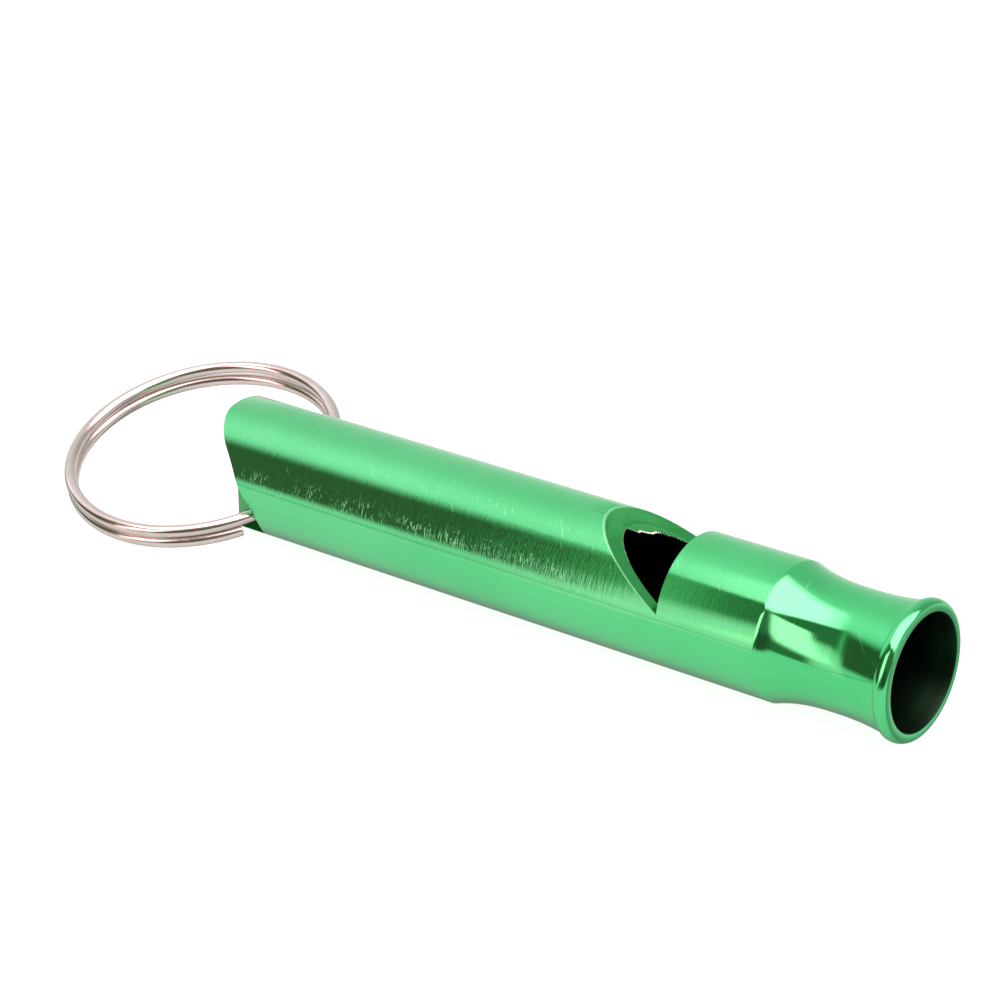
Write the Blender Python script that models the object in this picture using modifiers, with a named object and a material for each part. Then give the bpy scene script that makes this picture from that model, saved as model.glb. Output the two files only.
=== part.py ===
"""Short tubular signal whistle on a split key ring.

X runs along the tube from the tail face (x = 0) to the mouth, Z is up through
the window and Y is across. The root empty then shifts the whole assembly so
that the world origin is the centre of its bounding box, to the nearest
FRAME_STEP. Lengths are metres.
"""
import bpy
import bmesh
from math import sin, cos, pi, radians
from mathutils import Vector, Matrix

MM = 0.001

# ---- tube and mouthpiece --------------------------------------------------
TUBE_R = 4.0 * MM
TUBE_STATIONS = (24.0 * MM, 12.0 * MM)   # profile points along the plain tube
BORE_R = 3.3 * MM
BORE_END_X = 9.0 * MM        # the tail behind this is solid
LENGTH = 48.05 * MM          # tail face to mouth face
CREASE_X = 40.0 * MM         # sharp edge where the mouthpiece starts to neck in
WAIST_X = 44.0 * MM          # thinnest place of the mouthpiece
WAIST_R = 3.46 * MM
WAIST_POWER = 2.6            # curve from crease to waist
GROOVE_X = 47.05 * MM        # where the neck runs into the rolled lip
GROOVE_R = 3.72 * MM
GROOVE_POWER = 2.2           # curve from waist to groove
NECK_WALL = 0.60 * MM
NECK_BORE_STEPS = 12
NECK_OUTER_STEPS = 18

LIP_X = 47.60 * MM           # centre of the rolled lip's elliptical section
LIP_R = 3.66 * MM
LIP_HALF_LENGTH = LENGTH - LIP_X
LIP_HALF_HEIGHT = 0.31 * MM
LIP_SWEEP = radians(165.0)   # from the mouth face round towards the groove
LIP_STEPS = 12
MOUTH_R = 3.30 * MM
MOUTH_FLARE = 0.04 * MM      # the mouth widens by this from LIP_X to its face

# ---- window ---------------------------------------------------------------
WINDOW_FRONT_X = 33.65 * MM  # upright edge, on the mouth side
WINDOW_CUT_X = 20.0 * MM     # tail end of the cutter, before the ramp trims it
WINDOW_CUT_HALF_Y = 6 * MM
WINDOW_CUT_LOW_Z = -2 * MM
WINDOW_CUT_TOP_Z = 7 * MM
RAMP_X0 = 34.7 * MM          # the ramp is the plane x = RAMP_X0 - RAMP_SLOPE * z
RAMP_SLOPE = 1.725

# ---- tail -----------------------------------------------------------------
OVERCUT = 1.0 * MM           # how far cutters run past the faces they open
CUT_REACH = 6 * MM           # cutter extent across the tube, outside its wall
WEB_Y = -0.85 * MM           # face of the tail's web, at the pocket
POCKET_CUT_DEPTH = 5.2 * MM  # the cutter runs this far towards -Y
POCKET_STEPS = 36
BACK_FLAT_Y = 1.30 * MM      # opposite face of the web
BACK_FLAT_LENGTH = 5.10 * MM
BACK_CUT_Y = 7 * MM
RING_HOLE_X = 4.0 * MM       # cross hole for the ring
RING_HOLE_Z = -0.75 * MM
RING_HOLE_R = 1.75 * MM
RING_HOLE_END_Y = -2.75 * MM  # the hole runs in from +Y to here
RING_HOLE_SEGMENTS = 40

# Tail pocket outline in mm, from its floor up: (height z, length in from the tail face)
POCKET_EDGE = [
    (-3.35, 3.50), (-3.22, 3.58), (-2.65, 3.88), (-2.06, 4.00), (-1.53, 3.94), (-1.20, 3.82),
    (-0.81, 3.63), (-0.33, 3.33), (0.06, 3.07), (0.39, 2.88), (0.74, 2.70), (1.07, 2.52),
    (1.37, 2.32), (1.67, 2.08), (1.94, 1.83), (2.21, 1.53), (2.46, 1.25), (2.73, 0.98),
    (2.97, 0.75), (3.19, 0.53), (3.46, 0.29), (3.65, 0.12), (3.76, 0.05), (3.864, 0.0),
]

# ---- windway block --------------------------------------------------------
BLOCK_R = 3.25 * MM
BLOCK_X0 = WINDOW_FRONT_X
BLOCK_X1 = 39.4 * MM
BLOCK_FLAT_Z = 2.25 * MM     # flat top of the block, the floor of the air slot
BLOCK_CUT_HALF_Y = 5 * MM

# ---- split ring; angles are degrees round the ring, 0 at the cross hole ----
WIRE_R = 0.37 * MM
RING_R = 8.40 * MM           # to the wire's centreline
COIL_PITCH = 0.78 * MM       # distance between the two coils
COIL_SPREAD = 0.20 * MM      # extra opening between the coils on the +Y side
RING_CENTRE = Vector((-4.20, 0.63, -0.80)) * MM
RING_NORMAL = Vector((0.042, -0.285, 0.9576)).normalized()
RING_ACROSS = (Vector((1, 0, 0)) - RING_NORMAL * RING_NORMAL.x).normalized()  # to the hole
RING_SIDE = RING_NORMAL.cross(RING_ACROSS)                                    # mostly +Y
RING_START = -33.0           # free end of the lower coil
STEP_START = -330.0          # the wire climbs to the upper coil from here
STEP_END = -392.0            # to here, through the cross hole
RING_END = -684.0            # free end of the upper coil
RING_STEPS = 104
HINGE = Vector((RING_HOLE_X, 0.0, RING_HOLE_Z))   # the ring swings about this point

SEGMENTS = 64
FRAME_STEP = 0.05 * MM


# ---- helpers --------------------------------------------------------------
def material(name, colour, roughness, metallic):
    mat = bpy.data.materials.new(name)
    mat.use_nodes = True
    inputs = mat.node_tree.nodes["Principled BSDF"].inputs
    inputs["Base Color"].default_value = (*colour, 1.0)
    inputs["Roughness"].default_value = roughness
    inputs["Metallic"].default_value = metallic
    mat.diffuse_color = (*colour, 1.0)
    return mat


def collection(name):
    group = bpy.data.collections.new(name)
    bpy.context.scene.collection.children.link(group)
    return group


def add_object(name, data, group, mat=None):
    ob = bpy.data.objects.new(name, data)
    group.objects.link(ob)
    if mat is not None:
        data.materials.append(mat)
    return ob


def add_empty(name, size, location, parent=None):
    empty = add_object(name, None, parts)
    empty.empty_display_size = size
    empty.location = location
    empty.parent = parent
    return empty


def mesh_from_bmesh(name, bm):
    mesh = bpy.data.meshes.new(name)
    bm.normal_update()
    bm.to_mesh(mesh)
    bm.free()
    return mesh


def add_cutter(name, bm):
    """Hidden helper object, shown as wire."""
    ob = add_object(name, mesh_from_bmesh(name, bm), cutters)
    ob.hide_render = True
    ob.display_type = 'WIRE'
    return ob


def cut(target, cutter, name):
    boolean = target.modifiers.new(name, 'BOOLEAN')
    boolean.operation = 'DIFFERENCE'
    boolean.solver = 'EXACT'
    boolean.object = cutter


def smooth(ob, angle):
    """Smooth shading, sharp at edges steeper than angle in degrees."""
    ob.data.shade_smooth()
    ob.data.set_sharp_from_angle(angle=radians(angle))


def spread(start, stop, steps):
    """steps + 1 evenly spaced values from start to stop."""
    return [start + (stop - start) * i / steps for i in range(steps + 1)]


def cylinder_bmesh(radius, start, end, segments):
    """Capped cylinder from start to end."""
    along = end - start
    bm = bmesh.new()
    bmesh.ops.create_cone(bm, cap_ends=True, segments=segments,
                          radius1=radius, radius2=radius, depth=along.length)
    turn = Vector((0, 0, 1)).rotation_difference(along.normalized()).to_matrix().to_4x4()
    bmesh.ops.transform(bm, matrix=Matrix.Translation((start + end) / 2) @ turn,
                        verts=bm.verts)
    return bm


def box_bmesh(low, high):
    """Box between two opposite corners."""
    low, high = Vector(low), Vector(high)
    bm = bmesh.new()
    bmesh.ops.create_cube(bm, size=1.0)
    bmesh.ops.scale(bm, vec=high - low, verts=bm.verts)
    bmesh.ops.translate(bm, vec=(low + high) / 2, verts=bm.verts)
    return bm


# ---- turned body ----------------------------------------------------------
def neck_radius(x):
    """Outside radius between the crease and the lip."""
    if x <= WAIST_X:
        share = (x - CREASE_X) / (WAIST_X - CREASE_X)
        return WAIST_R + (TUBE_R - WAIST_R) * (1 - share) ** WAIST_POWER
    share = (x - WAIST_X) / (GROOVE_X - WAIST_X)
    return WAIST_R + (GROOVE_R - WAIST_R) * share ** GROOVE_POWER


def body_profile():
    """(radius, x) from the bore's bottom round the mouth to the tail's centre."""
    points = [(0.0, BORE_END_X), (BORE_R, BORE_END_X)]
    for x in spread(CREASE_X, GROOVE_X, NECK_BORE_STEPS):
        points.append((min(BORE_R, neck_radius(x) - NECK_WALL), x))
    points += [(MOUTH_R - MOUTH_FLARE, LIP_X), (MOUTH_R, LENGTH)]
    for angle in spread(0.0, LIP_SWEEP, LIP_STEPS):
        points.append((LIP_R + LIP_HALF_HEIGHT * sin(angle),
                       LIP_X + LIP_HALF_LENGTH * cos(angle)))
    for x in spread(GROOVE_X, CREASE_X, NECK_OUTER_STEPS):
        points.append((neck_radius(x), x))
    points += [(TUBE_R, x) for x in TUBE_STATIONS]
    points += [(TUBE_R, 0.0), (0.0, 0.0)]
    return points


def build_body(mat):
    bm = bmesh.new()
    verts = [bm.verts.new((radius, 0.0, x)) for radius, x in body_profile()]
    for pair in zip(verts, verts[1:]):
        bm.edges.new(pair)
    body = add_object("whistle_body", mesh_from_bmesh("whistle_body", bm), parts, mat)
    body.rotation_euler = (0.0, pi / 2, 0.0)          # local Z becomes the tube's X
    screw = body.modifiers.new("turn", 'SCREW')
    screw.axis = 'Z'
    screw.angle = 2 * pi
    screw.steps = SEGMENTS
    screw.render_steps = SEGMENTS
    screw.use_merge_vertices = True
    screw.merge_threshold = 1e-6
    screw.use_smooth_shade = True
    return body


def build_window_cutter():
    """Box with an upright face on the mouth side, trimmed below by the ramp."""
    bm = box_bmesh((WINDOW_CUT_X, -WINDOW_CUT_HALF_Y, WINDOW_CUT_LOW_Z),
                   (WINDOW_FRONT_X, WINDOW_CUT_HALF_Y, WINDOW_CUT_TOP_Z))
    trimmed = bmesh.ops.bisect_plane(
        bm, geom=bm.verts[:] + bm.edges[:] + bm.faces[:],
        plane_co=Vector((RAMP_X0, 0, 0)),
        plane_no=Vector((1.0, 0.0, RAMP_SLOPE)).normalized(), clear_inner=True)
    rim = [item for item in trimmed["geom_cut"] if isinstance(item, bmesh.types.BMEdge)]
    bmesh.ops.holes_fill(bm, edges=rim)
    bmesh.ops.recalc_face_normals(bm, faces=bm.faces)
    return add_cutter("window_cutter", bm)


def pocket_length(z):
    """Length of the tail pocket at height z: a cubic Hermite curve through the table."""
    height = z / MM
    last = len(POCKET_EDGE) - 2
    i = next((k for k in range(last) if height <= POCKET_EDGE[k + 1][0]), last)
    z0, length0 = POCKET_EDGE[i]
    z1, length1 = POCKET_EDGE[i + 1]
    before = POCKET_EDGE[max(i - 1, 0)]
    after = POCKET_EDGE[min(i + 2, last + 1)]
    slope0 = (length1 - before[1]) / (z1 - before[0])
    slope1 = (after[1] - length0) / (after[0] - z0)
    span = z1 - z0
    t = (height - z0) / span
    return MM * ((2 * t ** 3 - 3 * t ** 2 + 1) * length0
                 + (t ** 3 - 2 * t ** 2 + t) * span * slope0
                 + (-2 * t ** 3 + 3 * t ** 2) * length1
                 + (t ** 3 - t ** 2) * span * slope1)


def build_pocket_cutter():
    """Side pocket from -Y down to the web, open at the tail face."""
    floor_z = POCKET_EDGE[0][0] * MM
    top_z = POCKET_EDGE[-1][0] * MM
    outline = [(-OVERCUT, top_z)]
    outline += [(max(0.0, pocket_length(z)), z) for z in spread(top_z, floor_z, POCKET_STEPS)]
    outline.append((-OVERCUT, floor_z))
    bm = bmesh.new()
    face = bm.faces.new([bm.verts.new((x, WEB_Y, z)) for x, z in outline])
    extruded = bmesh.ops.extrude_face_region(bm, geom=[face])
    moved = [item for item in extruded["geom"] if isinstance(item, bmesh.types.BMVert)]
    bmesh.ops.translate(bm, vec=(0, -POCKET_CUT_DEPTH, 0), verts=moved)
    bmesh.ops.recalc_face_normals(bm, faces=bm.faces)
    return add_cutter("pocket_cutter", bm)


def build_back_cutter():
    """Flat on the +Y side of the tail."""
    return add_cutter("back_flat_cutter", box_bmesh(
        (-OVERCUT, BACK_FLAT_Y, -CUT_REACH), (BACK_FLAT_LENGTH, BACK_CUT_Y, CUT_REACH)))


def build_hole_cutter():
    return add_cutter("ring_hole_cutter", cylinder_bmesh(
        RING_HOLE_R, Vector((RING_HOLE_X, RING_HOLE_END_Y, RING_HOLE_Z)),
        Vector((RING_HOLE_X, CUT_REACH, RING_HOLE_Z)), RING_HOLE_SEGMENTS))


# ---- windway block --------------------------------------------------------
def build_block(mat):
    """Plug inside the mouthpiece, and the cutter that flattens its top."""
    bm = cylinder_bmesh(BLOCK_R, Vector((BLOCK_X0, 0, 0)), Vector((BLOCK_X1, 0, 0)), SEGMENTS)
    block = add_object("windway_block", mesh_from_bmesh("windway_block", bm), parts, mat)
    flat = add_cutter("block_flat_cutter", box_bmesh(
        (BLOCK_X0 - OVERCUT, -BLOCK_CUT_HALF_Y, BLOCK_FLAT_Z),
        (BLOCK_X1 + OVERCUT, BLOCK_CUT_HALF_Y, CUT_REACH)))
    cut(block, flat, "air_slot_floor")
    smooth(block, angle=30.0)
    return block, flat


# ---- split ring -----------------------------------------------------------
def smoothstep(t):
    t = min(1.0, max(0.0, t))
    return t * t * (3 - 2 * t)


def ring_point(degrees):
    """Centreline of the wire; the angle only ever decreases along the wire."""
    climb = smoothstep((degrees - STEP_START) / (STEP_END - STEP_START))
    angle = radians(degrees)
    gap = COIL_PITCH
    if not STEP_END < degrees < STEP_START:
        gap += COIL_SPREAD * max(0.0, sin(angle)) ** 2
    height = (climb - 0.5) * gap
    return (RING_CENTRE + RING_R * (cos(angle) * RING_ACROSS + sin(angle) * RING_SIDE)
            + height * RING_NORMAL)


def build_ring(path, mat):
    """Round wire along the path, as a mesh whose origin is the hinge."""
    curve = bpy.data.curves.new("split_ring_wire", 'CURVE')
    curve.dimensions = '3D'
    curve.bevel_depth = WIRE_R
    curve.bevel_resolution = 2
    curve.use_fill_caps = True
    spline = curve.splines.new('POLY')
    spline.points.add(len(path) - 1)
    for point, place in zip(spline.points, path):
        point.co = (*(place - HINGE), 1.0)
    wire = add_object("split_ring_wire", curve, cutters)
    bpy.context.view_layer.update()
    evaluated = wire.evaluated_get(bpy.context.evaluated_depsgraph_get())
    mesh = bpy.data.meshes.new_from_object(evaluated)
    bpy.data.objects.remove(wire, do_unlink=True)

    # weld the end caps to the wire
    bm = bmesh.new()
    bm.from_mesh(mesh)
    bmesh.ops.remove_doubles(bm, verts=bm.verts, dist=1e-6)
    bmesh.ops.recalc_face_normals(bm, faces=bm.faces)
    bm.to_mesh(mesh)
    bm.free()
    ring = add_object("split_ring", mesh, parts, mat)
    smooth(ring, angle=50.0)
    return ring


# ---- frame ----------------------------------------------------------------
def assembly_centre(path):
    """Centre of the box round tube and ring, rounded to FRAME_STEP."""
    tube_low = (0.0, -TUBE_R, -TUBE_R)
    tube_high = (LENGTH, TUBE_R, TUBE_R)
    low = Vector([min(min(p[k] for p in path) - WIRE_R, tube_low[k]) for k in range(3)])
    high = Vector([max(max(p[k] for p in path) + WIRE_R, tube_high[k]) for k in range(3)])
    return Vector([round(value / FRAME_STEP) * FRAME_STEP for value in (low + high) / 2])


# ---- assembly -------------------------------------------------------------
for old in list(bpy.data.objects):
    bpy.data.objects.remove(old, do_unlink=True)

parts = collection("tin_whistle")
cutters = collection("cutters")

green = material("green_anodised_aluminium", colour=(0.09, 0.56, 0.20),
                 roughness=0.28, metallic=1.0)
bare = material("bare_aluminium", colour=(0.60, 0.61, 0.60), roughness=0.45, metallic=1.0)
nickel = material("nickel_plated_steel", colour=(0.66, 0.62, 0.57),
                  roughness=0.18, metallic=1.0)

body = build_body(green)
body_cutters = {
    "window": build_window_cutter(),
    "tail_pocket": build_pocket_cutter(),
    "back_flat": build_back_cutter(),
    "ring_hole": build_hole_cutter(),
}
for cut_name, body_cutter in body_cutters.items():
    cut(body, body_cutter, cut_name)

block, block_cutter = build_block(bare)

ring_path = [ring_point(degrees) for degrees in spread(RING_START, RING_END, RING_STEPS)]
ring = build_ring(ring_path, nickel)

root = add_empty("whistle_frame", size=0.004, location=-assembly_centre(ring_path))
swing_axis = add_empty("ring_swing_axis", size=0.003, location=HINGE, parent=root)
for child in (body, block, block_cutter, *body_cutters.values()):
    child.parent = root
ring.parent = swing_axis
bpy.context.view_layer.update()
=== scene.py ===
"""Green tubular signal whistle on a split key ring.

Metres. The tube lies along X with its mouth at +X, its window opens to +Z, and the camera
looks at the -Y side ("near"; +Y is "back"). The pieces are modelled round the tube's own axis,
with x = 0 at the tail face, and then moved to ORIGIN.
"""
from math import sin, cos, pi, radians, sqrt

import bpy
import bmesh
import numpy as np
from mathutils import Vector, Matrix


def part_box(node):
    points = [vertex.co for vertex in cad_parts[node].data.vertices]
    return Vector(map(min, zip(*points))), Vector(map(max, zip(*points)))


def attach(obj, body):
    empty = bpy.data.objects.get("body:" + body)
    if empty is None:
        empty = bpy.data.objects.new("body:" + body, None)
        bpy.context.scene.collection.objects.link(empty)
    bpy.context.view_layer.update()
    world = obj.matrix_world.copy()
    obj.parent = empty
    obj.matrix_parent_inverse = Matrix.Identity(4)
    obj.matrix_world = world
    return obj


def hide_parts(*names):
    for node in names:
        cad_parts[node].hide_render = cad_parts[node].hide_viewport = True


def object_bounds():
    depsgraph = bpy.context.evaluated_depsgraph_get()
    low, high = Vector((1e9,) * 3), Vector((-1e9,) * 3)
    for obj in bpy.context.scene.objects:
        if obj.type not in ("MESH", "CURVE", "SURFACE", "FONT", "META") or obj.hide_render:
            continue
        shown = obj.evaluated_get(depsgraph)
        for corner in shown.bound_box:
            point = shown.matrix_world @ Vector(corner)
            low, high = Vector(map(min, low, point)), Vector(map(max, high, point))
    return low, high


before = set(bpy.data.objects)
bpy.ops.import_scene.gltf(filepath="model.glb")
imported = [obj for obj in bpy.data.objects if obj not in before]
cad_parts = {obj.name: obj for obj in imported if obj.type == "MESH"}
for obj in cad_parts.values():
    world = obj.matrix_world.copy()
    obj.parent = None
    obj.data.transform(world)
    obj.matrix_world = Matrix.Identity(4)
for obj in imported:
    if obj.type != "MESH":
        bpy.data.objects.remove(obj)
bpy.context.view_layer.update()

MM = 0.001
body_lo, body_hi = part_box("whistle_body")
ORIGIN = Vector((body_lo.x, (body_lo.y + body_hi.y) / 2, (body_lo.z + body_hi.z) / 2))
TUBE_R = (body_hi.z - body_lo.z) / 2
LENGTH = body_hi.x - body_lo.x

# ---- dimensions --------------------------------------------------------------
BODY_SEGMENTS = 256
EDGE_BREAK = 0.05 * MM
BORE_R = 3.3 * MM
BORE_END_X = 9.0 * MM
BORE_CONE = 0.35 * MM                # depth of the drill cone at the bore's end
CREASE_X = 40.0 * MM                 # the straight tube ends here
WAIST_X, WAIST_R = 44.0 * MM, 3.46 * MM
WAIST_WALL = 0.60 * MM
GROOVE_X, GROOVE_R = 47.05 * MM, 3.72 * MM
LIP_C_X, LIP_C_R = 47.60 * MM, 3.66 * MM      # centre of the lip's rounded section
LIP_AX = LENGTH - LIP_C_X            # its half axis along X
LIP_RAD = 0.31 * MM                  # its half axis along the radius
MOUTH_R = 3.30 * MM

WINDOW_FRONT_X = 33.65 * MM
RAMP_X0, RAMP_SLOPE = 34.7 * MM, 1.725        # window ramp: x = RAMP_X0 - RAMP_SLOPE * z
WEB_Y = 0.85 * MM                    # the tail web's near face is at y = -WEB_Y
BACK_FLAT_Y, BACK_FLAT_X = 1.30 * MM, 5.10 * MM
BACK_CORNER_R = 0.5 * MM
HOLE_X, HOLE_Z, HOLE_R, HOLE_NEAR_Y = 4.0 * MM, -0.75 * MM, 1.75 * MM, -2.75 * MM
HOLE_SINK = 0.15 * MM                # extra radius of the countersink

BLOCK_R, BLOCK_EDGE = 3.25 * MM, 0.08 * MM
BLOCK_X0, BLOCK_X1 = WINDOW_FRONT_X, 39.4 * MM
BLOCK_FLAT_Z = 2.25 * MM

WIRE_R = 0.37 * MM
WIRE_TIP = 0.06 * MM                 # how far the wire's cut ends are broken
WIRE_SEGMENTS = 32
RING_STEPS = 900
RING_R = 8.40 * MM
COIL_PITCH = 0.78 * MM
COIL_SPREAD = 0.20 * MM              # extra gap between the coils at 90 degrees
RING_C = Vector((-4.20, 0.63, -0.80)) * MM
RING_N = Vector((0.042, -0.285, 0.9576)).normalized()
# degrees round the ring: the wire's ends, and the step from one coil to the next
RING_START, STEP_START, STEP_END, RING_END = -33.0, -330.0, -392.0, -684.0

# tail pocket: (z, how far it runs in from the tail face), mm
POCKET_EDGE = [
    (-3.35, 3.50), (-3.22, 3.58), (-2.65, 3.88), (-2.06, 4.00), (-1.53, 3.94), (-1.20, 3.82),
    (-0.81, 3.63), (-0.33, 3.33), (0.06, 3.07), (0.39, 2.88), (0.74, 2.70), (1.07, 2.52),
    (1.37, 2.32), (1.67, 2.08), (1.94, 1.83), (2.21, 1.53), (2.46, 1.25), (2.73, 0.98),
    (2.97, 0.75), (3.19, 0.53), (3.46, 0.29), (3.65, 0.12), (3.76, 0.05), (3.864, 0.0)]

# ragged edge of the burr at the window's top: (degrees from -Y towards +Z, radius in mm)
BURR = [
    (83.0, 3.31), (86.9, 3.16), (91.3, 3.02), (95.5, 3.05), (100.2, 2.97), (107.2, 2.93),
    (113.0, 3.01), (119.2, 3.03), (123.4, 3.00), (128.2, 3.09), (133.8, 3.10), (138.3, 3.13),
    (146.0, 3.20), (156.0, 3.31)]


# ---- node helpers ------------------------------------------------------------
class Nodes:
    """A small wrapper so that a material reads top to bottom."""

    def __init__(self, tree):
        self.tree = tree
        tree.nodes.clear()

    def add(self, kind, **props):
        node = self.tree.nodes.new(kind)
        for key, value in props.items():
            setattr(node, key, value)
        return node

    def put(self, socket, value):
        if isinstance(value, bpy.types.NodeSocket):
            self.tree.links.new(value, socket)
        elif isinstance(value, tuple) and len(value) == 3 and socket.type == 'RGBA':
            socket.default_value = (*value, 1.0)
        else:
            socket.default_value = value

    def math(self, operation, *values):
        node = self.add('ShaderNodeMath', operation=operation)
        for socket, value in zip(node.inputs, values):
            self.put(socket, value)
        return node.outputs[0]

    def plus(self, a, b):
        return self.math('ADD', a, b)

    def minus(self, a, b):
        return self.math('SUBTRACT', a, b)

    def times(self, product, *factors):
        for factor in factors:
            product = self.math('MULTIPLY', product, factor)
        return product

    def coords(self, kind='Object'):
        return self.add('ShaderNodeTexCoord').outputs[kind]

    def split(self, vector):
        node = self.add('ShaderNodeSeparateXYZ')
        self.put(node.inputs[0], vector)
        return node.outputs

    def angle_round_x(self, y, z):
        """Degrees: 0 at -Y, 90 at +Z."""
        return self.times(self.math('ARCTAN2', z, self.times(y, -1.0)), 180 / pi)

    def ramp(self, value, zero, one, smooth=True):
        """0 where value is `zero`, 1 where it is `one`, which may be the lower."""
        node = self.add('ShaderNodeMapRange', clamp=True,
                        interpolation_type='SMOOTHSTEP' if smooth else 'LINEAR')
        self.put(node.inputs['Value'], value)
        self.put(node.inputs['From Min'], zero)
        self.put(node.inputs['From Max'], one)
        return node.outputs['Result']

    def mix(self, amount, a, b):
        """From colour a to colour b."""
        node = self.add('ShaderNodeMix', data_type='RGBA')
        for index, value in ((0, amount), (6, a), (7, b)):
            self.put(node.inputs[index], value)
        return node.outputs[2]

    def mix_value(self, amount, a, b):
        """From number a to number b."""
        node = self.add('ShaderNodeMix', data_type='FLOAT')
        for index, value in ((0, amount), (2, a), (3, b)):
            self.put(node.inputs[index], value)
        return node.outputs[0]

    def noise(self, vector, scale, detail=2.0, rough=0.6, offset=(0, 0, 0)):
        """Noise stretched by a scale for each axis."""
        mapping = self.add('ShaderNodeMapping')
        self.put(mapping.inputs['Vector'], vector)
        mapping.inputs['Scale'].default_value = scale
        mapping.inputs['Location'].default_value = offset
        node = self.add('ShaderNodeTexNoise')
        self.put(node.inputs['Vector'], mapping.outputs[0])
        node.inputs['Scale'].default_value = 1.0
        node.inputs['Detail'].default_value = detail
        node.inputs['Roughness'].default_value = rough
        return node.outputs['Fac']

    def bump(self, height, distance, strength=1.0, normal=None):
        node = self.add('ShaderNodeBump')
        node.inputs['Strength'].default_value = strength
        node.inputs['Distance'].default_value = distance
        self.put(node.inputs['Height'], height)
        if normal is not None:
            self.put(node.inputs['Normal'], normal)
        return node.outputs[0]

    def output(self, shader, kind='ShaderNodeOutputMaterial'):
        self.put(self.add(kind).inputs['Surface'], shader)

    def metal(self, base, rough, normal, metallic=1.0):
        node = self.add('ShaderNodeBsdfPrincipled')
        self.put(node.inputs['Base Color'], base)
        self.put(node.inputs['Roughness'], rough)
        self.put(node.inputs['Metallic'], metallic)
        self.put(node.inputs['Normal'], normal)
        self.output(node.outputs[0])


def new_material(name):
    material = bpy.data.materials.new(name)
    material.use_nodes = True
    return material, Nodes(material.node_tree)


# ---- mesh helpers ------------------------------------------------------------
def add_object(name, data, material=None):
    piece = bpy.data.objects.new(name, data)
    bpy.context.scene.collection.objects.link(piece)
    if material is not None:
        data.materials.append(material)
    return piece


def to_mesh(name, bm):
    mesh = bpy.data.meshes.new(name)
    bm.normal_update()
    bm.to_mesh(mesh)
    bm.free()
    return mesh


def revolve(name, profile, segments):
    """Surface of revolution round X from (radius, x) points."""
    bm = bmesh.new()
    rings = []
    for r, x in profile:
        if r < 1e-9:
            rings.append([bm.verts.new((x, 0, 0))])
        else:
            turns = [2 * pi * k / segments for k in range(segments)]
            rings.append([bm.verts.new((x, r * cos(turn), r * sin(turn))) for turn in turns])
    for a, b in zip(rings, rings[1:]):
        for k in range(segments):
            k2 = (k + 1) % segments
            if len(a) == 1:
                bm.faces.new((a[0], b[k], b[k2]))
            elif len(b) == 1:
                bm.faces.new((a[k2], a[k], b[0]))
            else:
                bm.faces.new((a[k2], a[k], b[k], b[k2]))
    bmesh.ops.recalc_face_normals(bm, faces=bm.faces)
    return to_mesh(name, bm)


def prism(name, outline, travel):
    """Flat outline of 3D points, extruded by the vector travel."""
    bm = bmesh.new()
    face = bm.faces.new([bm.verts.new(point) for point in outline])
    extruded = bmesh.ops.extrude_face_region(bm, geom=[face])["geom"]
    bmesh.ops.translate(bm, vec=travel,
                        verts=[g for g in extruded if isinstance(g, bmesh.types.BMVert)])
    bmesh.ops.recalc_face_normals(bm, faces=bm.faces)
    return add_object(name, to_mesh(name, bm))


def box(size, centre):
    bm = bmesh.new()
    bmesh.ops.create_cube(bm, size=1.0)
    bmesh.ops.scale(bm, vec=size, verts=bm.verts)
    bmesh.ops.translate(bm, vec=centre, verts=bm.verts)
    return bm


def subtract(target, cutters):
    """Cut every cutter out of the target, bake the result and delete the cutters."""
    for cutter in cutters:
        modifier = target.modifiers.new("cut", 'BOOLEAN')
        modifier.operation = 'DIFFERENCE'
        modifier.solver = 'EXACT'
        modifier.object = cutter
    bpy.context.view_layer.update()
    graph = bpy.context.evaluated_depsgraph_get()
    baked = bpy.data.meshes.new_from_object(target.evaluated_get(graph),
                                            preserve_all_data_layers=True, depsgraph=graph)
    uncut = target.data
    target.modifiers.clear()
    target.data = baked
    bpy.data.meshes.remove(uncut)
    for cutter in cutters:
        mesh = cutter.data
        bpy.data.objects.remove(cutter, do_unlink=True)
        bpy.data.meshes.remove(mesh)


def finish_piece(piece, part, carrier, sharp_angle=32.0):
    piece.data.shade_smooth()
    piece.data.set_sharp_from_angle(angle=radians(sharp_angle))
    piece.location = ORIGIN
    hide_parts(part)
    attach(piece, carrier)


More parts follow.
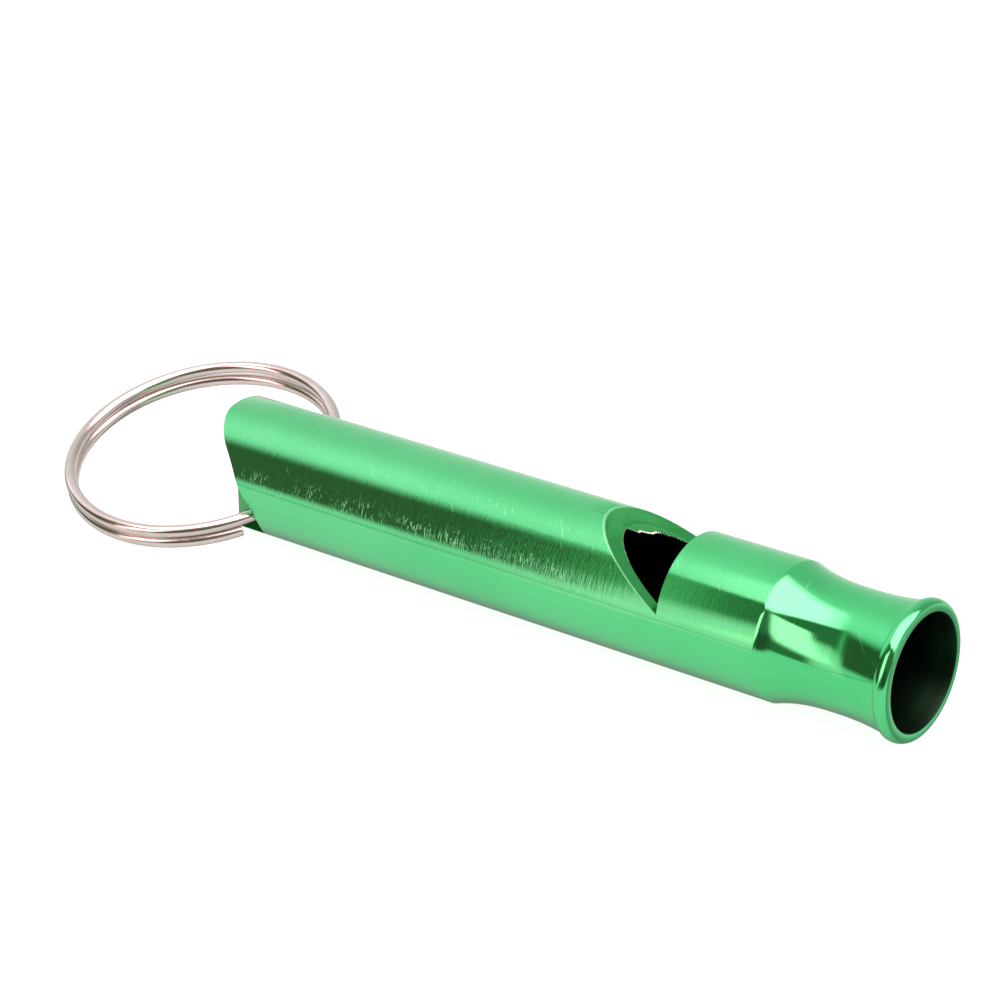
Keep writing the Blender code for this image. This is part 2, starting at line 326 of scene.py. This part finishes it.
# ---- materials ---------------------------------------------------------------
def anodised_material():
    """Green anodised aluminium with turning marks, scratches and milled faces, with painted shade
    in the bore and on the tail web and a painted highlight along the window ramp's outer edge.
    """
    dye_tail, dye_mouth = (0.146, 0.735, 0.292), (0.112, 0.735, 0.262)
    dye_light = (0.5, 1.0, 0.6)
    scratch_tint, flank_tint = (0.50, 0.84, 0.58), (0.45, 0.95, 0.55)
    ramp_dark, ramp_light = (0.050, 0.45, 0.105), (0.085, 0.61, 0.165)
    # painted highlight: light green for the bright rim along the ramp's outer edge
    ramp_rim_highlight_tint = (0.30, 0.96, 0.46)
    # painted shade: the web's darker greens stand for the shade in the tail pocket
    web_shade_dark, web_shade_light = (0.085, 0.33, 0.115), (0.125, 0.43, 0.165)
    # painted shade: the bore's near-black greens stand for the shade inside the tube
    bore_shade_dark, bore_shade_light = (0.010, 0.035, 0.016), (0.022, 0.075, 0.035)

    material, nodes = new_material("green_anodised_aluminium")
    coords = nodes.coords()
    x, y, z = nodes.split(coords)
    radius = nodes.math('SQRT', nodes.plus(nodes.times(y, y), nodes.times(z, z)))

    def ramp_mm(value, zero, one):
        return nodes.ramp(value, zero * MM, one * MM)

    # turning marks: rings of constant x, broken up slowly round the tube, fainter at the mouth
    fine = nodes.noise(coords, (9500, 1500, 1500))
    coarse = nodes.noise(coords, (3200, 420, 420), detail=1.0, rough=0.5, offset=(3.1, 0.7, 0.2))
    marks = nodes.plus(nodes.times(fine, 0.62), nodes.times(coarse, 0.38))
    marked = nodes.mix_value(ramp_mm(x, zero=26.0, one=34.5), 1.0, 0.25)
    marks = nodes.times(nodes.minus(marks, 0.5), marked)

    # short rubbed scratches: most run round the tube, some lie at a slant
    rub = nodes.noise(coords, (15000, 2600, 2600), detail=1.0, rough=0.5, offset=(0.3, 5.1, 2.2))
    rub = nodes.ramp(rub, zero=0.69, one=0.75)
    tilt = nodes.add('ShaderNodeVectorRotate', rotation_type='EULER_XYZ')
    nodes.put(tilt.inputs['Vector'], coords)
    tilt.inputs['Rotation'].default_value = (0.9, 0.55, 0.7)
    slant = nodes.noise(tilt.outputs[0], (13000, 900, 900), detail=0.0, rough=0.5,
                        offset=(7.7, 1.3, 0.9))
    slant = nodes.ramp(slant, zero=0.80, one=0.83)
    rubbed = nodes.noise(coords, (260, 420, 420), offset=(2.0, 9.0, 4.0))
    rubbed = nodes.ramp(rubbed, zero=0.42, one=0.62)
    scratch = nodes.math('MAXIMUM', nodes.times(rub, rubbed, marked), nodes.times(slant, 0.55))

    # dense short dashes in a band just above the middle of the near side
    angle = nodes.angle_round_x(y, z)
    flank = nodes.times(nodes.ramp(angle, zero=3.0, one=9.0),
                        nodes.ramp(angle, zero=33.0, one=16.0),
                        ramp_mm(x, zero=32.0, one=24.0),
                        ramp_mm(x, zero=0.5, one=5.0))
    dash = nodes.noise(coords, (13000, 2300, 2300), offset=(5.5, 3.1, 1.2))
    dash = nodes.ramp(dash, zero=0.575, one=0.66)
    patchy = nodes.ramp(nodes.noise(coords, (900, 900, 900)), zero=0.34, one=0.60)
    flank = nodes.times(dash, flank, patchy)
    scratch = nodes.math('MAXIMUM', scratch, flank)

    # cloudy dye, a little deeper towards the mouth
    tone = nodes.ramp(nodes.noise(coords, (110, 110, 110), detail=3.0), zero=0.3, one=0.72)
    deep = nodes.ramp(x, zero=8 * MM, one=42 * MM, smooth=False)
    dye = nodes.mix(deep, dye_tail, dye_mouth)
    base = nodes.mix(tone, nodes.mix(0.05, dye, (0, 0, 0)), nodes.mix(0.05, dye, dye_light))
    base = nodes.mix(nodes.times(scratch, 0.16), base, scratch_tint)
    base = nodes.mix(nodes.times(flank, 0.35), base, flank_tint)

    # milled faces: the window's ramp with a painted highlight along its outer edge, and the web
    # in the tail painted darker as the shade in its pocket
    off_ramp = nodes.math('ABSOLUTE', nodes.plus(nodes.minus(x, RAMP_X0),
                                                 nodes.times(z, RAMP_SLOPE)))
    ramp_face = nodes.times(ramp_mm(off_ramp, zero=0.05, one=0.035),
                            ramp_mm(radius, zero=3.985, one=3.965),
                            ramp_mm(radius, zero=2.80, one=2.84))
    # mask of the painted highlight along the ramp's outer rim
    ramp_rim_highlight = nodes.times(ramp_mm(off_ramp, zero=0.12, one=0.07),
                            ramp_mm(radius, zero=3.935, one=3.955),
                            ramp_mm(x, zero=33.6, one=33.4))
    off_web = nodes.math('ABSOLUTE', nodes.plus(y, WEB_Y))
    shaded_web_face = nodes.times(ramp_mm(off_web, zero=0.05, one=0.035),
                           ramp_mm(radius, zero=3.96, one=3.90),
                           ramp_mm(x, zero=4.3, one=4.2))
    milled = nodes.noise(coords, (1500, 9000, 1500), rough=0.55, offset=(0.2, 0.6, 1.4))
    base = nodes.mix(ramp_face, base, nodes.mix(milled, ramp_dark, ramp_light))
    # painted highlight along the ramp's outer edge
    base = nodes.mix(nodes.times(ramp_rim_highlight, 0.7), base, ramp_rim_highlight_tint)
    # painted shade: the web face is darkened for the shade in its pocket
    base = nodes.mix(shaded_web_face, base, nodes.mix(milled, web_shade_dark, web_shade_light))

    # the bore: dull, and painted near-black as the shade inside the tube, mottled by noise
    in_bore = nodes.times(ramp_mm(radius, zero=3.375, one=3.345), ramp_mm(x, zero=8.6, one=8.8))
    bore_shade_mottle = nodes.noise(coords, (700, 500, 500), detail=4.0)
    in_bore = nodes.times(in_bore, nodes.minus(1.0, ramp_face))
    base = nodes.mix(in_bore, base, nodes.mix(bore_shade_mottle, bore_shade_dark, bore_shade_light))

    # roughness: polish, plus marks and scratches, then one value for each kind of face
    rough = nodes.plus(0.055, nodes.times(nodes.ramp(marks, zero=-0.08, one=0.22), 0.07))
    rough = nodes.plus(rough, nodes.times(scratch, 0.30))
    rough = nodes.mix_value(in_bore, rough, 0.42)
    rough = nodes.mix_value(nodes.math('MAXIMUM', ramp_face, shaded_web_face), rough, 0.16)
    rough = nodes.mix_value(ramp_rim_highlight, rough, 0.35)

    # relief: marks, sunk scratches and a slow wave
    relief = nodes.bump(marks, distance=6.0e-6)
    relief = nodes.bump(nodes.times(scratch, -1.0), distance=3e-6, strength=0.5, normal=relief)
    wave = nodes.noise(coords, (60, 90, 90), detail=1.0, rough=0.4, offset=(1.7, 4.2, 0.4))
    relief = nodes.bump(wave, distance=4e-5, normal=relief)
    nodes.metal(base, rough, relief)
    return material


def bare_material():
    """Bright bare aluminium where the dye has been cut through, duller on the near side."""
    bright_green, bright_white = (0.72, 0.93, 0.78), (0.96, 1.0, 0.96)
    dull_green, dull_grey = (0.22, 0.34, 0.22), (0.50, 0.52, 0.42)
    material, nodes = new_material("bare_cut_edge")
    coords = nodes.coords()
    grain = nodes.noise(coords, (4000, 4000, 4000))
    dull = nodes.ramp(nodes.split(coords)[1], zero=-0.30 * MM, one=-0.45 * MM)
    base = nodes.mix(dull, nodes.mix(grain, bright_green, bright_white),
                     nodes.mix(grain, dull_green, dull_grey))
    rough = nodes.plus(0.35, nodes.times(grain, 0.3))
    nodes.metal(base, rough, nodes.bump(grain, distance=4e-6), metallic=0.75)
    return material


def nickel_material():
    """Nickel plate with drawing lines along the wire and rubbed spots."""
    nickel_dark, nickel_light = (0.690, 0.620, 0.565), (0.760, 0.695, 0.645)
    rubbed_tint = (0.86, 0.80, 0.75)
    material, nodes = new_material("nickel_plated_wire")
    wire = nodes.add('ShaderNodeUVMap', uv_map="wire").outputs[0]
    draw = nodes.noise(wire, (0.25, 38.0, 1.0), detail=3.0)
    cloud = nodes.noise(nodes.coords(), (500, 500, 500), detail=3.0)
    rub = nodes.noise(wire, (1.3, 9.0, 1.0), detail=4.0, rough=0.7, offset=(4.0, 2.0, 0.0))
    rub = nodes.ramp(rub, zero=0.60, one=0.70)
    base = nodes.mix(nodes.ramp(cloud, zero=0.3, one=0.7), nickel_dark, nickel_light)
    base = nodes.mix(nodes.times(rub, 0.35), base, rubbed_tint)
    rough = nodes.plus(0.10, nodes.times(draw, 0.10))
    rough = nodes.plus(rough, nodes.times(rub, 0.12))
    relief = nodes.bump(draw, distance=1.2e-6)
    relief = nodes.bump(cloud, distance=6e-6, normal=relief)
    nodes.metal(base, rough, relief)
    return material


def block_material():
    """Dull green with fine lines, painted dark as the shade inside the tube."""
    # painted shade: the block's dark greens stand for the shade inside the tube
    block_shade_dark, block_shade_light = (0.05, 0.16, 0.08), (0.07, 0.21, 0.10)
    material, nodes = new_material("windway_block_painted_shade")
    coords = nodes.coords()
    lines = nodes.noise(coords, (500, 7000, 500), rough=0.5)
    cloud = nodes.noise(coords, (300, 300, 300), detail=3.0)
    base = nodes.mix(nodes.ramp(cloud, zero=0.3, one=0.7), block_shade_dark, block_shade_light)
    rough = nodes.plus(0.32, nodes.times(lines, 0.2))
    nodes.metal(base, rough, nodes.bump(lines, distance=5e-6), metallic=0.9)
    return material


GREEN = anodised_material()
BARE = bare_material()
NICKEL = nickel_material()
BLOCK = block_material()


# ---- body --------------------------------------------------------------------
def outer_radius(x):
    """Outside of the mouthpiece: in from the crease to the waist, then out to the groove."""
    if x <= WAIST_X:
        share = (x - CREASE_X) / (WAIST_X - CREASE_X)
        return WAIST_R + (TUBE_R - WAIST_R) * (1 - share) ** 2.6
    share = (x - WAIST_X) / (GROOVE_X - WAIST_X)
    return WAIST_R + (GROOVE_R - WAIST_R) * share ** 2.2


def body_profile():
    """(radius, x) points: out along the bore, round the lip and back along the outside."""
    points = [(0.0, BORE_END_X + BORE_CONE), (BORE_R - BORE_CONE, BORE_END_X),
              (BORE_R, BORE_END_X + BORE_CONE),
              (BORE_R, 20 * MM), (BORE_R, 33 * MM), (BORE_R, CREASE_X)]
    steps = 24
    for i in range(1, steps + 1):
        x = CREASE_X + (GROOVE_X - CREASE_X) * i / steps
        points.append((min(BORE_R, outer_radius(x) - WAIST_WALL), x))
    points += [(MOUTH_R - 0.04 * MM, LENGTH - 0.45 * MM), (MOUTH_R, LENGTH - EDGE_BREAK),
               (MOUTH_R + 0.3 * EDGE_BREAK, LENGTH - 0.3 * EDGE_BREAK),
               (MOUTH_R + EDGE_BREAK, LENGTH)]
    steps = 28
    for i in range(steps + 1):
        turn = radians(165.0) * i / steps
        points.append((LIP_C_R + LIP_RAD * sin(turn), LIP_C_X + LIP_AX * cos(turn)))
    steps = 64
    for i in range(steps + 1):
        x = GROOVE_X + (CREASE_X - GROOVE_X) * i / steps
        points.append((outer_radius(x), x))
    for x in (39.9, 38, 34, 30, 26, 22, 18, 14, 10, 6, 3):
        points.append((TUBE_R, x * MM))
    points += [(TUBE_R, EDGE_BREAK), (TUBE_R - 0.3 * EDGE_BREAK, 0.3 * EDGE_BREAK),
               (TUBE_R - EDGE_BREAK, 0.0), (0.0, 0.0)]
    return points


def window_cutter():
    """Box from above, with its lower tail end sliced off along the ramp."""
    lo = Vector((20.0 * MM, -6 * MM, -2 * MM))
    hi = Vector((WINDOW_FRONT_X, 6 * MM, 7 * MM))
    bm = box(hi - lo, (lo + hi) / 2)
    sliced = bmesh.ops.bisect_plane(bm, geom=bm.verts[:] + bm.edges[:] + bm.faces[:],
                                    plane_co=Vector((RAMP_X0, 0, 0)),
                                    plane_no=Vector((1.0, 0.0, RAMP_SLOPE)).normalized(),
                                    clear_inner=True)["geom_cut"]
    bmesh.ops.holes_fill(bm, edges=[g for g in sliced if isinstance(g, bmesh.types.BMEdge)])
    bmesh.ops.recalc_face_normals(bm, faces=bm.faces)
    return add_object("cut_window", to_mesh("cut_window", bm))


def pocket_edge(z):
    """Pocket depth at height z: a smooth cubic through POCKET_EDGE."""
    height, table = z / MM, POCKET_EDGE
    for i in range(len(table) - 1):
        if height <= table[i + 1][0]:
            break
    (z0, x0), (z1, x1) = table[i], table[i + 1]
    before, after = table[max(i - 1, 0)], table[min(i + 2, len(table) - 1)]
    slope0 = (x1 - before[1]) / (z1 - before[0])
    slope1 = (after[1] - x0) / (after[0] - z0)
    span = z1 - z0
    u = (height - z0) / span
    return MM * ((2 * u ** 3 - 3 * u ** 2 + 1) * x0 + (u ** 3 - 2 * u ** 2 + u) * span * slope0
                 + (-2 * u ** 3 + 3 * u ** 2) * x1 + (u ** 3 - u ** 2) * span * slope1)


def pocket_cutter():
    """Pocket in the near side of the tail, down to the web."""
    floor, top = POCKET_EDGE[0][0] * MM, POCKET_EDGE[-1][0] * MM
    outline = [(-1.0 * MM, top)]
    steps = 120
    for i in range(steps + 1):
        z = top + (floor - top) * i / steps
        outline.append((max(0.0, pocket_edge(z)), z))
    outline.append((-1.0 * MM, floor))
    return prism("cut_pocket", [(x, -WEB_Y, z) for x, z in outline], (0, -5.2 * MM, 0))


def back_cutter():
    """Flat milled on the back of the tail, its inner corner left round by the cutter."""
    r, steps = BACK_CORNER_R, 10
    outline = [(-1.0 * MM, BACK_FLAT_Y), (BACK_FLAT_X - r, BACK_FLAT_Y)]
    for i in range(1, steps + 1):
        turn = pi / 2 * i / steps
        outline.append((BACK_FLAT_X - r + r * sin(turn), BACK_FLAT_Y + r - r * cos(turn)))
    outline += [(BACK_FLAT_X, 7 * MM), (-1.0 * MM, 7 * MM)]
    return prism("cut_back", [(x, y, -6 * MM) for x, y in outline], (0, 0, 12 * MM))


def hole_cutter():
    """Cross hole from the back, with a countersunk mouth."""
    profile = [(0.0, HOLE_NEAR_Y), (HOLE_R, HOLE_NEAR_Y), (HOLE_R, BACK_FLAT_Y - 0.12 * MM),
               (HOLE_R + HOLE_SINK, BACK_FLAT_Y + 0.03 * MM), (HOLE_R + HOLE_SINK, 6 * MM),
               (0.0, 6 * MM)]
    mesh = revolve("cut_hole", profile, 96)
    mesh.transform(Matrix.Translation((HOLE_X, 0, HOLE_Z)) @ Matrix.Rotation(pi / 2, 4, 'Z'))
    return add_object("cut_hole", mesh)


def ramp_point(angle, r, depth):
    """Point at an angle round the tube and a radius (mm), depth (mm) under the ramp face."""
    y, z = -r * cos(radians(angle)), r * sin(radians(angle))
    k = 1.0 / sqrt(1 + RAMP_SLOPE ** 2)
    return Vector((RAMP_X0 / MM - RAMP_SLOPE * z - depth * k, y,
                   z - depth * k * RAMP_SLOPE)) * MM


def skin_rows(bm, rows, bare_sides, bare_ends):
    """Closed sleeve over rows of vertices; bare sides and ends get material 1."""
    for a, b in zip(rows, rows[1:]):
        for k in range(len(a)):
            k2 = (k + 1) % len(a)
            face = bm.faces.new((a[k], b[k], b[k2], a[k2]))
            face.material_index = int(k in bare_sides)
    for end in (rows[0], rows[-1][::-1]):
        bm.faces.new(end).material_index = int(bare_ends)


def burr_mesh():
    """Thin ragged flap at the top of the window's ramp, and a fine burr down its near side."""
    bm = bmesh.new()
    angles, radii = zip(*BURR)
    steps = 90
    rows = []
    for i in range(steps + 1):
        angle = angles[0] + (angles[-1] - angles[0]) * i / steps
        r = float(np.interp(angle, angles, radii))
        fade = min(1.0, 6.0 * i / steps, 6.0 * (steps - i) / steps)
        r += fade * (0.022 * sin(1.9 * i) * sin(0.37 * i) + 0.012 * sin(4.3 * i))
        # the bare edge is widest at 102 degrees
        width = 0.026 + 0.055 * max(0.0, 1 - ((angle - 102.0) / 17.0) ** 2)
        section = [(3.305, 0.003), (r, 0.003), (r - width * fade, 0.004 - 0.03 * fade),
                   (r + 0.004, 0.05), (3.40, 0.06)]
        rows.append([bm.verts.new(ramp_point(angle, *point)) for point in section])
    skin_rows(bm, rows, bare_sides=(1, 2), bare_ends=False)
    rows = []
    for i in range(41):
        angle = 46.0 + 38.0 * i / 40
        width = 0.004 + 0.006 * sin(1.3 * i) * sin(0.5 * i)
        section = [(3.30 + width, 0.004), (3.295, -0.015), (3.285, 0.02), (3.30 + width, 0.03)]
        rows.append([bm.verts.new(ramp_point(angle, *point)) for point in section])
    skin_rows(bm, rows, bare_sides=range(4), bare_ends=True)
    bmesh.ops.recalc_face_normals(bm, faces=bm.faces)
    return to_mesh("burr", bm)


def build_body():
    name = "whistle_body_fine"
    body = add_object(name, revolve(name, body_profile(), BODY_SEGMENTS), GREEN)
    subtract(body, [window_cutter(), pocket_cutter(), back_cutter(), hole_cutter()])
    bm = bmesh.new()
    bm.from_mesh(body.data)
    bmesh.ops.remove_doubles(bm, verts=bm.verts, dist=2e-6)
    burr = burr_mesh()
    bm.from_mesh(burr)
    bpy.data.meshes.remove(burr)
    body.data.materials.append(BARE)
    bm.to_mesh(body.data)
    bm.free()
    finish_piece(body, "whistle_body", "body")


# ---- windway block -----------------------------------------------------------
def build_block():
    """Plug in the bore in front of the window, with a flat on top."""
    name = "windway_block_fine"
    profile = [(0, BLOCK_X0), (BLOCK_R - BLOCK_EDGE, BLOCK_X0), (BLOCK_R, BLOCK_X0 + BLOCK_EDGE),
               (BLOCK_R, BLOCK_X1 - BLOCK_EDGE), (BLOCK_R - BLOCK_EDGE, BLOCK_X1), (0, BLOCK_X1)]
    block = add_object(name, revolve(name, profile, 128), BLOCK)
    above_flat = box((10 * MM, 10 * MM, 4 * MM),
                     ((BLOCK_X0 + BLOCK_X1) / 2, 0, BLOCK_FLAT_Z + 2 * MM))
    subtract(block, [add_object("cut_flat", to_mesh("cut_flat", above_flat))])
    finish_piece(block, "windway_block", "body")


# ---- split ring --------------------------------------------------------------
RING_AXIS_1 = (Vector((1, 0, 0)) - RING_N * RING_N.x).normalized()
RING_AXIS_2 = RING_N.cross(RING_AXIS_1)


def ring_point(degrees):
    """Wire centre: two flat coils joined by a smooth step, spread apart round 90 degrees."""
    share = min(1.0, max(0.0, (degrees - STEP_START) / (STEP_END - STEP_START)))
    climb = share * share * (3 - 2 * share)
    turn = radians(degrees)
    spread = 0.0 if STEP_END < degrees < STEP_START else max(0.0, sin(turn)) ** 2
    height = (climb - 0.5) * (COIL_PITCH + COIL_SPREAD * spread)
    return RING_C + RING_R * (cos(turn) * RING_AXIS_1 + sin(turn) * RING_AXIS_2) + height * RING_N


def wire_mesh(name, path):
    """Round wire with softly broken cut ends; UVs in mm along it and 0..1 round it."""
    last = len(path) - 1
    tangents = [(path[min(i + 1, last)] - path[max(i - 1, 0)]).normalized()
                for i in range(last + 1)]
    side = RING_N.cross(tangents[0]).normalized()
    stations = []                    # centre, radius, side, up, length so far
    length = 0.0
    for i, tangent in enumerate(tangents):
        if i:
            length += (path[i] - path[i - 1]).length
        side = (side - tangent * side.dot(tangent)).normalized()
        stations.append((path[i], WIRE_R, side, tangent.cross(side), length))

    def broken_end(station, inward):
        centre, radius, *rest = station
        return [(centre, radius - WIRE_TIP, *rest),
                (centre + inward * WIRE_TIP * 0.35, radius - WIRE_TIP * 0.3, *rest)]

    stations = (broken_end(stations[0], tangents[0]) + stations[1:-1]
                + broken_end(stations[-1], -tangents[-1])[::-1])
    bm = bmesh.new()
    uv_layer = bm.loops.layers.uv.new("wire")
    turns = [2 * pi * k / WIRE_SEGMENTS for k in range(WIRE_SEGMENTS)]
    rows = [[bm.verts.new(centre + (side * cos(turn) + up * sin(turn)) * radius)
             for turn in turns] for centre, radius, side, up, _ in stations]
    lengths = [station[-1] * 1000 for station in stations]
    for i in range(len(rows) - 1):
        a, b = rows[i], rows[i + 1]
        for k in range(WIRE_SEGMENTS):
            k2 = (k + 1) % WIRE_SEGMENTS
            face = bm.faces.new((a[k], a[k2], b[k2], b[k]))
            corners = ((lengths[i], k), (lengths[i], k + 1),
                       (lengths[i + 1], k + 1), (lengths[i + 1], k))
            for loop, (along, step) in zip(face.loops, corners):
                loop[uv_layer].uv = (along, step / WIRE_SEGMENTS)
    for end in (0, -1):
        for loop in bm.faces.new(rows[end]).loops:
            loop[uv_layer].uv = (lengths[end], 0.5)
    bmesh.ops.recalc_face_normals(bm, faces=bm.faces)
    return to_mesh(name, bm)


def build_ring():
    path = [ring_point(RING_START + (RING_END - RING_START) * i / RING_STEPS)
            for i in range(RING_STEPS + 1)]
    ring = add_object("split_ring_fine", wire_mesh("split_ring_fine", path), NICKEL)
    finish_piece(ring, "split_ring", "ring", sharp_angle=40.0)


# ---- floor and camera --------------------------------------------------------
def build_floor():
    """Softly glowing white table just under the lowest piece."""
    floor_z = min(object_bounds()[0].z, body_lo.z)
    bm = bmesh.new()
    bmesh.ops.create_grid(bm, x_segments=1, y_segments=1, size=3.0)
    floor = add_object("studio_floor", to_mesh("studio_floor", bm))
    floor.location = (0, 0, floor_z - 0.02 * MM)
    material, nodes = new_material("white_table")
    diffuse = nodes.add('ShaderNodeBsdfDiffuse')
    diffuse.inputs['Color'].default_value = (0.30, 0.30, 0.30, 1)
    glow = nodes.add('ShaderNodeEmission')
    glow.inputs['Strength'].default_value = 0.90
    total = nodes.add('ShaderNodeAddShader')
    nodes.put(total.inputs[0], diffuse.outputs[0])
    nodes.put(total.inputs[1], glow.outputs[0])
    nodes.output(total.outputs[0])
    floor.data.materials.append(material)
    floor.visible_glossy = False


# The tube in the camera's axes: x right, y down, z forward
TAIL_IN_VIEW = np.array([-15.5617422, -2.53269899, 184.12914756])      # tail centre, mm
TUBE_IN_VIEW = np.array([0.78512661, 0.24079093, -0.57061014])         # +X direction
ACROSS_1 = np.array([-0.54105666, -0.18167644, -0.8211281])            # square to the tube
ACROSS_2 = np.array([0.30138662, -0.95342194, 0.01235747])             # square to both
TUBE_ROLL = radians(29.1)            # turn of -Y from ACROSS_1


def build_camera():
    near = cos(TUBE_ROLL) * ACROSS_1 - sin(TUBE_ROLL) * ACROSS_2
    up = sin(TUBE_ROLL) * ACROSS_1 + cos(TUBE_ROLL) * ACROSS_2
    axes = (TUBE_IN_VIEW, -near, up)           # world X, Y and Z
    right, down, forward = (Vector(row) for row in zip(*axes))
    location = Vector([-TAIL_IN_VIEW @ axis for axis in axes]) * MM + ORIGIN
    data = bpy.data.cameras.new("camera")
    data.sensor_width = 36.0
    data.sensor_fit = 'HORIZONTAL'
    data.lens = 108.0
    data.clip_start = 0.005
    data.clip_end = 20.0
    camera = add_object("camera", data)
    rotation = Matrix((right, -down, -forward)).transposed()
    camera.matrix_world = Matrix.Translation(location) @ rotation.to_4x4()
    bpy.context.scene.camera = camera


# ---- light tent --------------------------------------------------------------
# A direction is given by x, its share along X, and its angle round X (0 is -Y, 90 is up).
def line(x0, angle0, x1, angle1):
    """(slope, start) of an angle edge through two points."""
    slope = (angle1 - angle0) / (x1 - x0)
    return slope, angle0 - slope * x0


# brightness of the wall: (angle, brightness)
WALL = [
    (-180, 0.84), (-161, 0.80), (-147, 0.42), (-130, 0.34), (-113, 0.48), (-97, 0.66),
    (-81, 0.78), (-57, 0.86), (-33, 0.90), (-20, 0.90), (0, 0.80), (40, 0.75), (56, 0.90),
    (66, 1.06), (76, 1.12), (86, 1.07), (96, 0.99), (108, 0.90), (120, 0.83), (150, 0.80),
    (180, 0.84)]

# Patches painted over the wall in this order: colour, borders. A border is (kept side, edge,
# half width of its soft band). A slanted edge is (slope, start) in the other coordinate.
PATCHES = [
    # grey front of the room
    ((0.15, 0.20, 0.13), [
        ("x >", -0.545, 0.04), ("angle >", line(-0.45, -19.0, -0.15, -12.0), 2.0),
        ("angle <", 58.0, 4.0)]),
    # narrow strip at the room's -X border
    ((0.46, 0.66, 0.44), [
        ("x >", -0.545, 0.02), ("x <", -0.512, 0.012), ("angle >", 2.0, 8.0),
        ("angle <", 58.0, 4.0)]),
    # bright apron low at the room's -X border
    ((1.48, 1.02, 1.10), [
        ("x >", (0.0042, -0.572), 0.045), ("x <", -0.42, 0.05),
        ("angle >", line(-0.45, -20.0, -0.05, 5.0), 2.0), ("angle <", 25.0, 6.0),
        ("x >", -0.558, 0.02)]),
    # upper bright panel
    ((4.2, 2.5, 2.9), [
        ("x >", -0.475, 0.05), ("angle >", line(-0.45, 57.0, 0.0, 49.0), 2.5),
        ("angle <", line(-0.40, 93.0, 0.0, 110.0), 8.0), ("x <", 0.82, 0.08)]),
    # lower bright panel
    ((3.4, 2.0, 2.1), [
        ("x >", (0.0026, -0.475), 0.04), ("angle >", line(-0.45, -6.0, -0.05, 9.0), 6.0),
        ("angle <", line(-0.45, 36.0, 0.0, 44.0), 2.0), ("x <", (0.003, -0.06), 0.07)]),
    # dark gap towards -X
    ((0.140, 0.127, 0.080), [
        ("x <", (0.0003, -0.545), 0.018), ("angle >", line(-0.70, -14.0, -0.60, -8.5), 6.0),
        ("angle <", line(-0.66, 50.0, -0.50, 58.0), 9.0)]),
    # the camera's side
    ((0.20, 0.20, 0.15), [
        ("x >", (0.0008, 0.02), 0.05), ("angle >", -13.0, 4.0), ("angle <", 50.0, 5.0)]),
    # darker hole round the camera
    ((0.09, 0.10, 0.07), [
        ("x >", -0.03, 0.07), ("angle >", -13.0, 4.0), ("angle <", 14.0, 7.0),
        ("x <", 0.72, 0.06)])]
TABLE_EDGE = [("angle >", -21.0, 1.0), ("angle <", -18.0, 1.0), ("x <", -0.42, 0.05)]
TABLE_EDGE_COLOUR = (0.47, 0.55, 0.42)


def build_world():
    world = bpy.data.worlds.new("light_tent")
    bpy.context.scene.world = world
    world.use_nodes = True
    nodes = Nodes(world.node_tree)
    x, y, z = nodes.split(nodes.coords('Generated'))
    angle = nodes.angle_round_x(y, z)

    def inside(*borders):
        masks = []
        for rule, edge, soft in borders:
            name, side = rule.split()
            value, other = (x, angle) if name == "x" else (angle, x)
            if isinstance(edge, tuple):
                edge = nodes.math('MULTIPLY_ADD', other, *edge)
            zero, one = (-soft, soft) if side == ">" else (soft, -soft)
            masks.append(nodes.ramp(nodes.minus(value, edge), zero, one))
        return nodes.times(*masks)

    # the curve runs 0..1 in angle and holds half the brightness
    curve = nodes.add('ShaderNodeFloatCurve')
    curve.mapping.use_clip = False
    points = curve.mapping.curves[0].points
    points[0].location = (0.0, WALL[0][1] / 2)
    points[1].location = (1.0, WALL[-1][1] / 2)
    for degrees, brightness in WALL[1:-1]:
        points.new((degrees + 180) / 360, brightness / 2)
    curve.mapping.update()
    nodes.put(curve.inputs['Value'], nodes.math('DIVIDE', nodes.plus(angle, 180.0), 360.0))
    wall = nodes.times(curve.outputs[0], 2.0)
    # the back of the tent falls off towards +X
    for start, dimmed in ((-0.38, 0.84), (0.0, 0.72)):
        far = inside(("x >", start, 0.12), ("angle >", 112.0, 8.0))
        wall = nodes.times(wall, nodes.mix_value(far, 1.0, dimmed))

    # red and blue are raised where the wall is brightest
    def raised(gain):
        bright = nodes.ramp(nodes.minus(wall, 1.0), zero=-0.15, one=0.15)
        return nodes.times(wall, nodes.mix_value(bright, 1.0, gain))

    combine = nodes.add('ShaderNodeCombineColor')
    nodes.put(combine.inputs[0], raised(1.16))
    nodes.put(combine.inputs[1], wall)
    nodes.put(combine.inputs[2], raised(1.10))
    colour = combine.outputs[0]
    for patch_colour, borders in PATCHES:
        colour = nodes.mix(inside(*borders), colour, patch_colour)
    # the table's edge, weaker towards +X
    table_edge = inside(*TABLE_EDGE)
    strength = nodes.mix_value(inside(("x >", -0.56, 0.02)), 0.75, 0.45)
    colour = nodes.mix(nodes.times(table_edge, strength), colour, TABLE_EDGE_COLOUR)
    background = nodes.add('ShaderNodeBackground')
    nodes.put(background.inputs['Color'], colour)
    background.inputs['Strength'].default_value = 1.0
    nodes.output(background.outputs[0], 'ShaderNodeOutputWorld')


# ---- build -------------------------------------------------------------------
build_body()
build_block()
build_ring()
build_floor()
build_camera()
build_world()

view = bpy.context.scene.view_settings
view.view_transform = 'Standard'
view.look = 'None'
view.exposure = 0.0
view.gamma = 1.0
